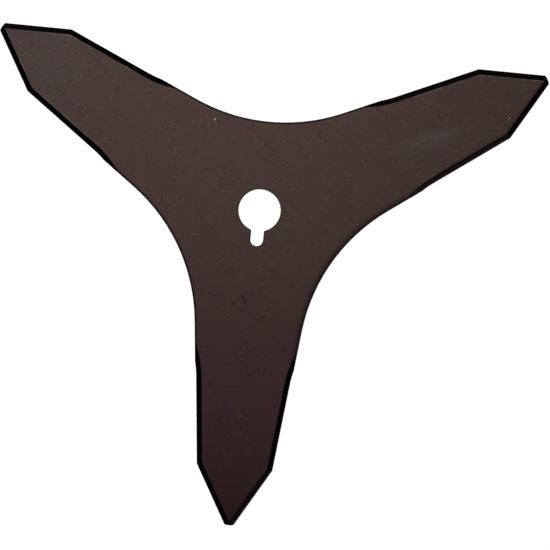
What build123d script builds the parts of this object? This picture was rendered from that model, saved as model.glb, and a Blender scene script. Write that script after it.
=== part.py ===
from build123d import *
import os
from math import cos, radians, sin, tan

# Brush cutter blade: one flat steel plate with tapering, pointed arms, ground to a knife edge from
# both faces along the outer part of each arm. Sizes are in millimetres and angles in degrees.
# The origin is on the bore's axis in the plane of the lower face, and the slotted arm points along -Y.

# Plate
arm_count = 3
thickness = 3.0
tip_circle = 300.0
tip_width = 4.1
tip_corner_radius = 3.0
shoulder_width = 36.0
point_angle = 60.0
side_taper = 6.0
root_radius = 86.0
edge_break = 0.5

# Seat on the cutter head
bore_diameter = 20.0
slot_width = 6.0
slot_reach = 17.0
slot_corner_radius = 0.5
seat_edge_break = 0.3

# Grinding with the rim of a wheel
bevel_angle = 30.0
grind_allowance = 0.5
sharpened_side = 42.0
wheel_radius = 90.0

# One arm, pointing along +X: its finished tip and shoulder corners, and the outward normals of its edges
pitch = 360 / arm_count
point_lean = point_angle / 2
tip = Vector(tip_circle / 2, tip_width / 2)
shoulder = Vector(tip.X - (shoulder_width - tip_width) / 2 / tan(radians(point_lean)), shoulder_width / 2)
side_normal = Vector(0, 1).rotate(Axis.Z, -side_taper)
point_normal = Vector(0, 1).rotate(Axis.Z, -point_lean)
bevel_width = thickness / 2 / sin(radians(bevel_angle))


def blank_outline():
    """The plate before grinding. Its straight edges stand outside the cutting edges. Arcs join the arms."""
    mitre = grind_allowance / (1 + side_normal.dot(point_normal))
    blank_shoulder = shoulder + (side_normal + point_normal) * mitre
    blank_tip = tip + Vector(0, grind_allowance / cos(radians(point_lean)))

    between_arms = Vector(1, 0).rotate(Axis.Z, pitch / 2)
    centre_reach = (blank_shoulder.dot(side_normal) + root_radius) / between_arms.dot(side_normal)
    root_centre = between_arms * centre_reach
    root_start = root_centre - side_normal * root_radius
    root_middle = root_centre - between_arms * root_radius
    root_end = Vector(root_start.X, -root_start.Y).rotate(Axis.Z, pitch)

    upper_edge = Polyline(root_start, blank_shoulder, blank_tip)
    lower_edge = mirror(upper_edge, about=Plane.XZ)
    end = Line(blank_tip, Vector(blank_tip.X, -blank_tip.Y))
    root = ThreePointArc(root_start, root_middle, root_end)
    turns = [Rot(0, 0, pitch * arm) for arm in range(arm_count)]
    outline = make_face([turn * line for turn in turns for line in (lower_edge, end, upper_edge, root)])

    tip_corners = [corner for corner in outline.vertices() if Vector(corner.X, corner.Y).length > tip.X]
    return fillet(tip_corners, tip_corner_radius)


def seat_hole():
    """The bore, and the round-ended slot that runs out from it along one arm."""
    end_reach = slot_reach - slot_width / 2
    hole = Circle(bore_diameter / 2) + Pos(end_reach / 2, 0) * SlotCenterToCenter(end_reach, slot_width)
    return fillet(hole.vertices().sort_by_distance((0, 0))[:2], slot_corner_radius)


def blank():
    """The plate as cut out, lying half above and half below the XY plane, with its rims broken."""
    plate = extrude(blank_outline(), thickness / 2, both=True)
    plate = chamfer(plate.faces().filter_by(Axis.Z).edges(), edge_break)
    plate -= extrude(seat_hole(), thickness / 2, both=True)
    seat_rims = [wire for face in plate.faces().filter_by(Axis.Z) for wire in face.inner_wires()]
    return chamfer([edge for rim in seat_rims for edge in rim.edges()], seat_edge_break)


def wheel_pass(lean, before, beyond):
    """Metal cleared from the upper face by a wheel's rim, run along the edge of that lean from before the
    shoulder to beyond it. The wheel is wider than the bevel, and leaves a hollow where it lifts off."""
    along = Vector(1, 0).rotate(Axis.Z, -lean)
    up_bevel = Vector(0, -cos(radians(bevel_angle)), sin(radians(bevel_angle))).rotate(Axis.Z, -lean)
    bevel = Plane(origin=shoulder, x_dir=along, z_dir=up_bevel)
    sweep = Pos((beyond - before) / 2, wheel_radius) * SlotCenterToCenter(before + beyond, 2 * wheel_radius)
    return extrude(bevel * sweep, 2 * bevel_width, both=True)


def arm_grinding():
    """The passes that sharpen one arm: its side and its point, left and right, on both faces."""
    side = wheel_pass(side_taper, sharpened_side, bevel_width)
    point = wheel_pass(point_lean, bevel_width, (tip - shoulder).length + bevel_width)
    left = [side, point]
    upper = left + [mirror(cut, about=Plane.XZ) for cut in left]
    return upper + [mirror(cut, about=Plane.XY) for cut in upper]


def blade():
    """The ground plate, laid on its lower face with the slotted arm along -Y."""
    plate = blank()
    for arm in range(arm_count):
        plate -= [Rot(0, 0, pitch * arm) * cut for cut in arm_grinding()]
    return Pos(0, 0, thickness / 2) * Rot(0, 0, -90) * plate


os.makedirs("parts", exist_ok=True)
export_step(blade(), "parts/blade.step")
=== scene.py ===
"""Brush cutter blade: a hardened steel plate, baked brown and ground on its edges, lying on a pale floor.

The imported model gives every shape. This script adds the steel's finish, the floor, the light and the camera.
Sizes are in millimetres where a name ends in _mm, and in metres elsewhere.
"""

import math
from functools import partial

import bpy
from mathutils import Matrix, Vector


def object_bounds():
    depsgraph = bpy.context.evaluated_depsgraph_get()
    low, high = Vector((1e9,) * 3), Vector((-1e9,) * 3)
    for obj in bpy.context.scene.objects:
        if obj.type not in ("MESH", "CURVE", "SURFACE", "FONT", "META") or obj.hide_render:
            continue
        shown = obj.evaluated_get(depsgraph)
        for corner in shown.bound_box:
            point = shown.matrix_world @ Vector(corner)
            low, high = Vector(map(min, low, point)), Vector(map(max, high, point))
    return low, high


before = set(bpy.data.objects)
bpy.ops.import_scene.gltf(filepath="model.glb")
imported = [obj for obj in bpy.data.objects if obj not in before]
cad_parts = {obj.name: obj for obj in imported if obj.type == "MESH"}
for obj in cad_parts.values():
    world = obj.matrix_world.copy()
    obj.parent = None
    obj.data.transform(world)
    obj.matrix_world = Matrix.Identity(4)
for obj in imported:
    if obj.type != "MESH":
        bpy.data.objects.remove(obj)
cad_low, cad_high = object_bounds()

MM = 0.001

# Edges of one arm, as on the drawing: reaches run from the bore's axis, leans are against the arm's axis
tip_reach_mm = 150.0
tip_width_mm = 4.1
shoulder_width_mm = 36.0
point_lean = math.radians(30)
side_lean = math.radians(6)
arm_pitch = math.radians(120)
slotted_arm_turn = math.radians(-90)
root_radius_mm = 86.0
grind_allowance_mm = 0.5
bevel_width_mm = 2.6
sharpened_reach_mm = 84.0
shoulder_reach_mm = 122.4
bore_radius_mm = 10.0
slot_half_width_mm = 3.0
slot_centre_mm = 14.0

# The photograph, seen straight from above
photo_side_px = 550
mm_per_px = 0.47393
axis_px = (259.06, 209.83)
photo_turn = math.radians(5.576)

MATH = "ShaderNodeMath"
VECTOR = "ShaderNodeVectorMath"
RANGE = "ShaderNodeMapRange"
MIX = "ShaderNodeMix"
NOISE = "ShaderNodeTexNoise"

# Places of a Mix node's colour sockets
COLOUR_A, COLOUR_B, COLOUR_OUT = 6, 7, 2


def from_photo(px, py):
    """Place on the upper face, in metres, of a pixel of the photograph."""
    across, up = px - axis_px[0], axis_px[1] - py
    cos, sin = math.cos(photo_turn), math.sin(photo_turn)
    scale = mm_per_px * MM
    return Vector((scale * (across * cos - up * sin), scale * (across * sin + up * cos), cad_high.z))


def linear(colour):
    """An sRGB hex colour, such as "#46372f", as linear red, green, blue and full alpha."""
    parts = [int(colour[i:i + 2], 16) / 255 for i in (1, 3, 5)]
    return *(p / 12.92 if p <= 0.04045 else ((p + 0.055) / 1.055) ** 2.4 for p in parts), 1.0


def add(tree, kind, inputs=(), out=0, **settings):
    """Adds a node, applies its settings and fills its inputs with values or other nodes' outputs.
    Returns one of its outputs, or nothing where it has none."""
    made = tree.nodes.new(kind)
    for name, value in settings.items():
        setattr(made, name, value)
    for key, value in (inputs.items() if isinstance(inputs, dict) else enumerate(inputs)):
        if isinstance(value, bpy.types.NodeSocket):
            tree.links.new(value, made.inputs[key])
        else:
            made.inputs[key].default_value = value
    return made.outputs[out] if made.outputs else None


def new_material(name):
    """A material with that name and no nodes, and the function that adds nodes to it."""
    material = bpy.data.materials.new(name)
    material.use_nodes = True
    material.node_tree.nodes.clear()
    return material, partial(add, material.node_tree)


def fold_arms(node, place):
    """Folds the three arms onto half of one, pointing along +X. Gives the spot there in mm, and the turn about the
    bore in radians, counted from the slotted arm."""
    x = node("ShaderNodeSeparateXYZ", [place], out="X")
    y = node("ShaderNodeSeparateXYZ", [place], out="Y")
    reach = node(VECTOR, {0: node("ShaderNodeCombineXYZ", [x, y, 0.0])}, operation="LENGTH", out="Value")
    reach = node(MATH, [reach, 1 / MM], operation="MULTIPLY")
    turn = node(MATH, [node(MATH, [y, x], operation="ARCTAN2"), slotted_arm_turn], operation="SUBTRACT")
    folded = node(MATH, [turn, arm_pitch / 2], operation="PINGPONG")
    along = node(MATH, [node(MATH, [folded], operation="COSINE"), reach], operation="MULTIPLY")
    aside = node(MATH, [node(MATH, [folded], operation="SINE"), reach], operation="MULTIPLY")
    return node("ShaderNodeCombineXYZ", [along, aside, 0.0]), turn


def depths(node, place, spot):
    """How far in from three kinds of edge a place lies, in mm: the cutting edges, the blank's own outline, and the
    seat's hole. A straight edge's depth is the shoulder's reach along the edge's normal less the place's. A root's
    depth is the distance from the arc's centre less its radius, and it holds as far as the arc touches the side."""
    point_length = (shoulder_width_mm - tip_width_mm) / 2 / math.tan(point_lean)
    shoulder = Vector((tip_reach_mm - point_length, shoulder_width_mm / 2, 0))
    side_normal = Vector((math.sin(side_lean), math.cos(side_lean), 0))
    point_normal = Vector((math.sin(point_lean), math.cos(point_lean), 0))
    side, point = (
        node(MATH, [shoulder.dot(normal), node(VECTOR, [spot, normal], operation="DOT_PRODUCT", out="Value")],
             operation="SUBTRACT")
        for normal in (side_normal, point_normal)
    )
    cutting = node(MATH, [side, point], operation="MINIMUM")

    between_arms = Vector((math.cos(arm_pitch / 2), math.sin(arm_pitch / 2), 0))
    blank_reach = shoulder.dot(side_normal) + grind_allowance_mm
    root_centre = between_arms * ((blank_reach + root_radius_mm) / between_arms.dot(side_normal))
    root = node(VECTOR, [spot, root_centre], operation="DISTANCE", out="Value")
    root = node(MATH, [root, root_radius_mm], operation="SUBTRACT")
    along_side = Vector((math.cos(side_lean), -math.sin(side_lean), 0))
    ahead = node(VECTOR, [spot, along_side], operation="DOT_PRODUCT", out="Value")
    on_side = node(MATH, [ahead, root_centre.dot(along_side)], operation="GREATER_THAN")
    side_rim = node(MATH, [side, grind_allowance_mm], operation="ADD")
    blank = node(MIX, {0: on_side, 2: root, 3: side_rim})

    bore = node(VECTOR, {0: spot}, operation="LENGTH", out="Value")
    bore = node(MATH, [bore, bore_radius_mm], operation="SUBTRACT")
    plan = node(VECTOR, [place, (1 / MM, 1 / MM, 0)], operation="MULTIPLY")
    slot_y = node("ShaderNodeClamp", [node("ShaderNodeSeparateXYZ", [plan], out="Y"), -slot_centre_mm, 0.0])
    slot_spine = node("ShaderNodeCombineXYZ", [0.0, slot_y, 0.0])
    slot = node(VECTOR, [plan, slot_spine], operation="DISTANCE", out="Value")
    slot = node(MATH, [slot, slot_half_width_mm], operation="SUBTRACT")
    seat = node(MATH, [bore, slot], operation="MINIMUM")
    return cutting, blank, seat


# Marks on the upper face: middle in pixels of the photograph, length and width in mm, lean in degrees
# anticlockwise from the photograph's level, and strength
# The smears along the right arm are grime; the veil on the left arm's end is painted sheen, the lamp's reflection
# lighter and greyer there
dust_and_sheen = {
    "smear along the right arm": ((428, 140), 46, 13, 16, 0.5),
    "heart of that smear": ((444, 133), 22, 5, 16, 0.3),
    "painted sheen on the left arm's end": ((48, 66), 90, 70, -33, 0.30),
}
bare_spots = {
    "nick above the seat": ((214.7, 118.7), 1.0, 0.9, 0, 1.0),
    "nick near the right arm's end": ((509.4, 117.5), 0.9, 0.8, 0, 0.6),
    "dot on the left arm": ((25.5, 52.5), 1.0, 0.9, 0, 0.14),
    "upper dot at the left arm's end": ((19.7, 38.3), 1.0, 0.9, 0, 0.10),
    "lower dot at the left arm's end": ((18.3, 42.3), 1.0, 0.9, 0, 0.14),
    "dot below the seat": ((220.3, 261.3), 1.2, 0.9, 0, 0.09),
    "dot on the slotted arm": ((202, 456.5), 0.9, 0.8, 0, 0.05),
}
# The two shade marks by the bright nicks are painted shade; the others are scratch, pit, fleck and stain marks
scratches_and_shade = {
    "long scratch below the seat": ((243.6, 299.0), 7.6, 1.3, -65, 1.0),
    "short scratch below the seat": ((231.8, 302.3), 3.6, 1.3, -57, 1.0),
    "hair scratch on the left arm": ((132.8, 171.5), 8.0, 0.9, 73, 0.35),
    "pit above the seat": ((274, 150), 1.9, 1.6, 0, 0.6),
    "first pit of the row": ((279.7, 157), 1.6, 1.2, 0, 0.4),
    "second pit of the row": ((283.6, 160), 1.6, 1.2, 0, 0.4),
    "third pit of the row": ((287, 163), 1.6, 1.2, 0, 0.4),
    "shade beside the bright nick": ((511.4, 117.8), 1.5, 1.5, 0, 0.5),
    "shade under the bright nick": ((216.4, 120.2), 1.6, 1.4, 0, 0.5),
    "fleck by the lower right edge": ((478.7, 142), 1.9, 1.4, 30, 0.6),
    "second fleck there": ((484, 142), 1.9, 1.4, 30, 0.5),
    "third fleck there": ((444, 168), 1.9, 1.4, 30, 0.5),
    "fourth fleck there": ((468, 154), 1.9, 1.4, 30, 0.5),
    "tick beside the slot": ((288.5, 249), 2.2, 1.1, -10, 0.5),
    "stain beside the slotted arm's root": ((299.5, 329), 8.0, 3.0, 75, 0.4),
}

bevel_nicks = {
    "nick in the left arm's upper bevel": ((136, 69), 2.6, 1.2, -28, 0.3),
}


def marked(node, place, marks):
    """The sum of some marks on the upper face, each an oval that fades from its strength at the middle to 0."""
    result = 0.0
    for (px, py), length_mm, width_mm, lean, strength in marks.values():
        oval = node("ShaderNodeMapping", {
            "Vector": place,
            "Location": from_photo(px, py),
            "Rotation": (0, 0, math.radians(lean) + photo_turn),
            "Scale": (length_mm / 2 * MM, width_mm / 2 * MM, 2 * MM),
        }, vector_type="TEXTURE")
        reach = node(VECTOR, {0: oval}, operation="LENGTH", out="Value")
        fade = node(RANGE, {"Value": reach, "From Min": 1.0, "From Max": 0.0, "To Max": strength},
                    interpolation_type="SMOOTHSTEP")
        result = node(MATH, [result, fade], operation="ADD")
    return result


def tint(node, colour, over, share, blend="MIX"):
    """A colour with another laid over it, by a share from 0 to 1."""
    return node(MIX, {0: share, COLOUR_A: colour, COLOUR_B: over}, out=COLOUR_OUT, data_type="RGBA", blend_type=blend)


def browned_spring_steel():
    """Spring steel plate, hardened and baked brown in oil. Its skin is dark, red-brown and satin, with a fine grit and
    faint warm and plum patches. Painted light falloff makes it darker towards the slotted arm and the arms' ends.
    The edges, ground after cutting and blackened with the plate, are almost black and barely shine."""
    material, node = new_material("browned_spring_steel")
    place = node("ShaderNodeTexCoord", out="Object")
    normal = node("ShaderNodeTexCoord", out="Normal")
    spot, turn = fold_arms(node, place)
    cutting, blank, seat = depths(node, place, spot)
    lift = node(MATH, [node("ShaderNodeSeparateXYZ", [normal], out="Z")], operation="ABSOLUTE")
    is_flat = node(MATH, [lift, 0.97], operation="GREATER_THAN")
    is_bevel = node(MATH, [lift, 0.87, 0.1], operation="COMPARE")

    # Baked skin, in patches of 8 mm. Its tone runs darker and redder towards the slotted arm and a little darker
    # towards the arms' ends, and lighter and greyer near the seat and the upper left: painted light falloff from the
    # lamp at the upper left
    height = node("ShaderNodeSeparateXYZ", [place], out="Y")
    slotted_end = node(RANGE, {"Value": height, "From Min": -150 * MM, "From Max": -95 * MM})
    slotted_root = node(RANGE, {"Value": height, "From Min": -95 * MM, "From Max": -15 * MM})
    # painted shade: the tone steps darker and redder towards the slotted arm's end
    skin = tint(node, linear("#2d1a1a"), linear("#412d2f"), slotted_end)
    skin = tint(node, skin, linear("#463834"), slotted_root)
    # painted light falloff: darker with distance from a lit spot above the seat
    away = node(VECTOR, [place, (-11 * MM, 66 * MM, 0)], operation="DISTANCE", out="Value")
    painted_falloff = node(RANGE, {"Value": away, "From Min": 40 * MM, "From Max": 150 * MM, "To Min": 1.0, "To Max": 0.76})
    patches = node(NOISE, {"Vector": place, "Scale": 1 / (8 * MM), "Detail": 2.0, "Roughness": 0.5})
    patches = node(RANGE, {"Value": patches, "From Min": 0.35, "From Max": 0.65})
    skin = tint(node, skin, tint(node, linear("#fff3fc"), linear("#fffff1"), patches), 1.0, "MULTIPLY")

    # Grit: the real grains are about 0.2 mm, and are drawn at 0.8 mm so that they show. They stand out in places
    grit = node(NOISE, {"Vector": place, "Scale": 1 / (0.8 * MM), "Detail": 2.0, "Roughness": 0.6})
    shown = node(NOISE, {"Vector": place, "Scale": 1 / (4 * MM), "Detail": 1.0, "Roughness": 0.5})
    shown = node(RANGE, {"Value": shown, "From Min": 0.45, "From Max": 0.7, "To Min": 0.05, "To Max": 0.5})
    shade = node(MATH, [node(MATH, [grit, 0.5], operation="SUBTRACT"), shown, 1.0], operation="MULTIPLY_ADD")
    # Threads: short curled ridges in the skin, in loose clusters, each with painted light on one side and painted
    # shade on the other
    thread = node(NOISE, {"Vector": place, "Scale": 1 / (2.0 * MM), "Detail": 1.0, "Roughness": 0.5})
    thread = node(MATH, [thread, 12.0, -6.0], operation="MULTIPLY_ADD")
    ridge = node(MATH, [node(MATH, [thread, thread], operation="MULTIPLY"), -1.0], operation="MULTIPLY")
    ridge = node(MATH, [ridge], operation="EXPONENT")
    cluster = node(NOISE, {"Vector": place, "Scale": 1 / (5 * MM), "Detail": 2.0, "Roughness": 0.6})
    cluster = node(RANGE, {"Value": cluster, "From Min": 0.54, "From Max": 0.64})
    ridge = node(MATH, [ridge, cluster], operation="MULTIPLY")
    # painted light and painted shade on the two flanks of each ridge
    painted_ridge_light = node(MATH, [ridge, thread], operation="MULTIPLY")
    shade = node(MATH, [painted_ridge_light, 0.55, shade], operation="MULTIPLY_ADD")
    # Specks: one to each 5 mm, few of them strong. A light one stands up and a dark one is a pit
    cells = {"Vector": place, "Scale": 1 / (5 * MM)}
    speck = node("ShaderNodeTexVoronoi", cells, out="Distance", voronoi_dimensions="2D")
    pick = node("ShaderNodeTexVoronoi", cells, out="Color", voronoi_dimensions="2D")
    pick = node("ShaderNodeSeparateColor", [pick], out="Red")
    pick = node(RANGE, {"Value": pick, "To Min": -0.7, "To Max": 1.0})
    pick = node(MATH, [pick, 3.0], operation="POWER")
    speck = node(RANGE, {"Value": speck, "From Min": 0.14, "From Max": 0.04}, interpolation_type="SMOOTHSTEP")
    speck = node(MATH, [speck, pick], operation="MULTIPLY")
    shade = node(MATH, [speck, 0.6, shade], operation="MULTIPLY_ADD")
    # painted light falloff laid on the skin's tone
    shade = node(MATH, [shade, painted_falloff], operation="MULTIPLY")
    skin = node(VECTOR, {0: skin, "Scale": shade}, operation="SCALE")

    # Marks of storage and handling, with painted sheen on the left arm's end and painted shade beside the bright nicks
    broken = node(RANGE, {"Value": grit, "From Min": 0.35, "From Max": 0.65, "To Min": 0.03, "To Max": 0.15})
    haze_and_sheen = node(MATH, [marked(node, place, dust_and_sheen), broken], operation="MULTIPLY")
    # grime, with painted sheen on the left arm's end
    skin = tint(node, skin, linear("#7b9096"), haze_and_sheen)
    # dark marks, with painted shade beside the bright nicks
    skin = tint(node, skin, linear("#0a0404"), marked(node, place, scratches_and_shade))
    skin = tint(node, skin, linear("#d8d0c8"), marked(node, place, bare_spots))

    # Rims: the skin darkens towards the broken edge of the plate and the seat's hole. Between the slotted and right
    # arms, where the edges face away from the lamp, a wider band of painted shade runs further in
    lower_right = node(VECTOR, [place, (0.866, -0.5, 0)], operation="DOT_PRODUCT", out="Value")
    shaded_side = node(RANGE, {"Value": lower_right, "From Min": 20 * MM, "From Max": 40 * MM})
    # painted shade on the rims that face away from the lamp
    painted_rim_shade = node(RANGE, {"Value": blank, "From Min": 3.6, "From Max": 0.8, "To Max": 0.6})
    painted_rim_shade = node(MATH, [painted_rim_shade, shaded_side], operation="MULTIPLY")
    near_rim = node(RANGE, {"Value": blank, "From Min": 1.2, "From Max": 0.75}, interpolation_type="SMOOTHSTEP")
    near_rim = node(MATH, [near_rim, painted_rim_shade], operation="MAXIMUM")
    near_seat = node(RANGE, {"Value": seat, "From Min": 0.7, "From Max": 0.3, "To Max": 0.5},
                     interpolation_type="SMOOTHSTEP")
    near_rim = node(MATH, [near_rim, near_seat], operation="MAXIMUM")
    skin = tint(node, skin, linear("#050302"), near_rim)

    # Edges that face away from the lamp: the right-hand ones of the right arm, and one of the slotted arm's point
    along = node("ShaderNodeSeparateXYZ", [spot], out="X")
    right_edges = node(MATH, [turn, math.radians(90), math.radians(30)], operation="COMPARE")
    right_side = node(MATH, [along, shoulder_reach_mm], operation="LESS_THAN")
    right_side = node(MATH, [right_edges, right_side], operation="MULTIPLY")
    slotted_point = node(MATH, [turn, math.radians(30), math.radians(30)], operation="COMPARE")
    beyond = node(MATH, [along, shoulder_reach_mm], operation="GREATER_THAN")
    slotted_point = node(MATH, [slotted_point, beyond], operation="MULTIPLY")
    # Beside their bevels the flat carries a band of painted shade, as these edges face away from the lamp
    sharpened = node(MATH, [along, sharpened_reach_mm], operation="GREATER_THAN")
    shaded_edges = node(MATH, [slotted_point, 0.6, right_edges], operation="MULTIPLY_ADD")
    painted_lee_shade = node(RANGE, {"Value": cutting, "From Min": 3.9, "From Max": 2.9, "To Max": 0.5})
    painted_lee_shade = node(MATH, [node(MATH, [painted_lee_shade, shaded_edges], operation="MULTIPLY"), sharpened], operation="MULTIPLY")
    skin = tint(node, skin, linear("#120a09"), painted_lee_shade)

    # Corner of the flats and the bevels: lighter in places, partly where the skin is worn thin and partly as a painted
    # highlight, kept off the edges that face away from the lamp and fading out on the slotted arm
    rubbed_and_glint = node(NOISE, {"Vector": place, "Scale": 1 / (6 * MM), "Detail": 3.0, "Roughness": 0.7})
    rubbed_and_glint = node(RANGE, {"Value": rubbed_and_glint, "From Min": 0.46, "From Max": 0.6, "To Max": 0.1})
    corner = node(MATH, [cutting, bevel_width_mm + 0.3, 0.3], operation="COMPARE")
    corner = node(MATH, [corner, sharpened], operation="MULTIPLY")
    corner = node(MATH, [corner, slotted_root], operation="MULTIPLY")
    corner = node(MATH, [corner, node(MATH, [1.0, right_edges], operation="SUBTRACT")], operation="MULTIPLY")
    skin = tint(node, skin, linear("#b0a8a4"), node(MATH, [corner, rubbed_and_glint], operation="MULTIPLY"))

    # Ground bevels: nearly black, with the wheel's lines along the edge. On the right arm's side and the slotted arm's
    # point, which face away from the lamp, a lighter band beside the cutting edge is painted reflection
    ground = linear("#020202")
    painted_reflection = node(MATH, [slotted_point, 0.6, right_side], operation="MULTIPLY_ADD")
    reflection_fade = node(RANGE, {"Value": cutting, "From Min": 2.3, "From Max": 0.9, "To Min": 0.2, "To Max": 1.0})
    ground = tint(node, ground, linear("#1f1715"), node(MATH, [painted_reflection, reflection_fade], operation="MULTIPLY"))
    ground = tint(node, ground, linear("#5a2c2a"), marked(node, place, bevel_nicks))
    lines = node("ShaderNodeCombineXYZ", [
        node(MATH, [cutting, 1 / 0.5], operation="MULTIPLY"), node(MATH, [along, 1 / 20], operation="MULTIPLY"), turn,
    ])
    lines = node(NOISE, {"Vector": lines, "Scale": 1.0, "Detail": 2.0, "Roughness": 0.6})
    lines = node(RANGE, {"Value": lines, "From Min": 0.35, "From Max": 0.65})
    ground = tint(node, ground, linear("#050403"), node(MATH, [lines, 0.5], operation="MULTIPLY"))
    edges = tint(node, linear("#0c0706"), ground, is_bevel)
    colour = tint(node, edges, skin, is_flat)

    # The cutting press rolled the plate's rim down over its last 2.5 mm
    roll = node(RANGE, {"Value": blank, "From Min": 2.5, "From Max": 0.0})
    roll = node(MATH, [roll, 2.0], operation="POWER")
    roll = node(MATH, [roll, -0.3 * MM], operation="MULTIPLY")
    height = node(MATH, [grit, 0.01 * MM, roll], operation="MULTIPLY_ADD")
    height = node(MATH, [ridge, 0.01 * MM, height], operation="MULTIPLY_ADD")
    height = node(MATH, [speck, 0.05 * MM, height], operation="MULTIPLY_ADD")
    height = node(MIX, {0: is_bevel, 2: height, 3: node(MATH, [lines, 0.01 * MM], operation="MULTIPLY")})
    bump = node("ShaderNodeBump", {"Strength": 1.0, "Distance": 1.0, "Height": height})

    # Gloss: the skin is satin and a little duller where it is warm, and the wheel's lines alternate on the bevels
    satin = node(RANGE, {"Value": patches, "To Min": 0.42, "To Max": 0.50})
    satin = node(MATH, [speck, 0.1, satin], operation="MULTIPLY_ADD")
    lined = node(RANGE, {"Value": lines, "To Min": 0.36, "To Max": 0.52})
    rough = node(MIX, {0: is_bevel, 2: satin, 3: lined})
    surface = node("ShaderNodeBsdfPrincipled", {
        "Base Color": colour, "Metallic": is_bevel, "Roughness": rough, "Specular IOR Level": 0.06, "Normal": bump,
    })
    node("ShaderNodeOutputMaterial", {"Surface": surface})
    return material


def seen_directly(node):
    """1 on a ray from the camera, or one that reached here by gloss or through glass, and 0 on light's own rays."""
    seen = [node("ShaderNodeLightPath", out=f"Is {kind} Ray") for kind in ("Camera", "Glossy", "Transmission")]
    return node(MATH, [node(MATH, seen[:2], operation="MAXIMUM"), seen[2]], operation="MAXIMUM")


def white_floor():
    """A white paper sheet that glows a little to the eye, so that it stays white and keeps only a soft shadow."""
    material, node = new_material("white_paper_floor")
    paper = node("ShaderNodeBsdfDiffuse", {"Color": linear("#f4f4f4")})
    glow = node("ShaderNodeEmission", {"Color": linear("#ffffff"), "Strength": 1.1})
    share = node(MATH, [seen_directly(node), 0.88], operation="MULTIPLY")
    node("ShaderNodeOutputMaterial", {"Surface": node("ShaderNodeMixShader", [share, paper, glow])})
    half, below = 20.0, cad_low.z - 0.05 * MM
    corners = [(-half, -half, below), (half, -half, below), (half, half, below), (-half, half, below)]
    mesh = bpy.data.meshes.new("floor")
    mesh.from_pydata(corners, [], [(0, 1, 2, 3)])
    mesh.materials.append(material)
    floor = bpy.data.objects.new("floor", mesh)
    bpy.context.collection.objects.link(floor)


def light():
    """An even pale room, and one large soft lamp above the upper left of the picture."""
    world = bpy.data.worlds.new("pale_room")
    bpy.context.scene.world = world
    world.use_nodes = True
    world.node_tree.nodes.clear()
    node = partial(add, world.node_tree)
    strength = node(RANGE, {"Value": seen_directly(node), "To Min": 0.3, "To Max": 1.0})
    background = node("ShaderNodeBackground", {"Color": linear("#ffffff"), "Strength": strength})
    node("ShaderNodeOutputWorld", {"Surface": background})

    lamp = bpy.data.lights.new("softbox", "AREA")
    lamp.shape = "SQUARE"
    lamp.size = 0.4
    lamp.energy = 3.2
    box = bpy.data.objects.new("softbox", lamp)
    box.location = (-0.18, 0.38, 0.4)
    box.rotation_euler = (-box.location).to_track_quat("-Z", "Y").to_euler()
    bpy.context.collection.objects.link(box)


def camera():
    """Straight above the blade, turned as the photograph is. A long lens keeps the plate's walls out of sight."""
    lens = bpy.data.cameras.new("camera")
    lens.lens = 300.0
    field = photo_side_px * mm_per_px * MM
    eye = bpy.data.objects.new("camera", lens)
    eye.location = from_photo(photo_side_px / 2 - 0.5, photo_side_px / 2 - 0.5)
    eye.location.z += field * lens.lens / lens.sensor_width
    eye.rotation_euler = (0, 0, photo_turn)
    bpy.context.collection.objects.link(eye)
    bpy.context.scene.camera = eye


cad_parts["blade"].material_slots[0].material = browned_spring_steel()
white_floor()
light()
camera()
bpy.context.scene.view_settings.view_transform = "Standard"
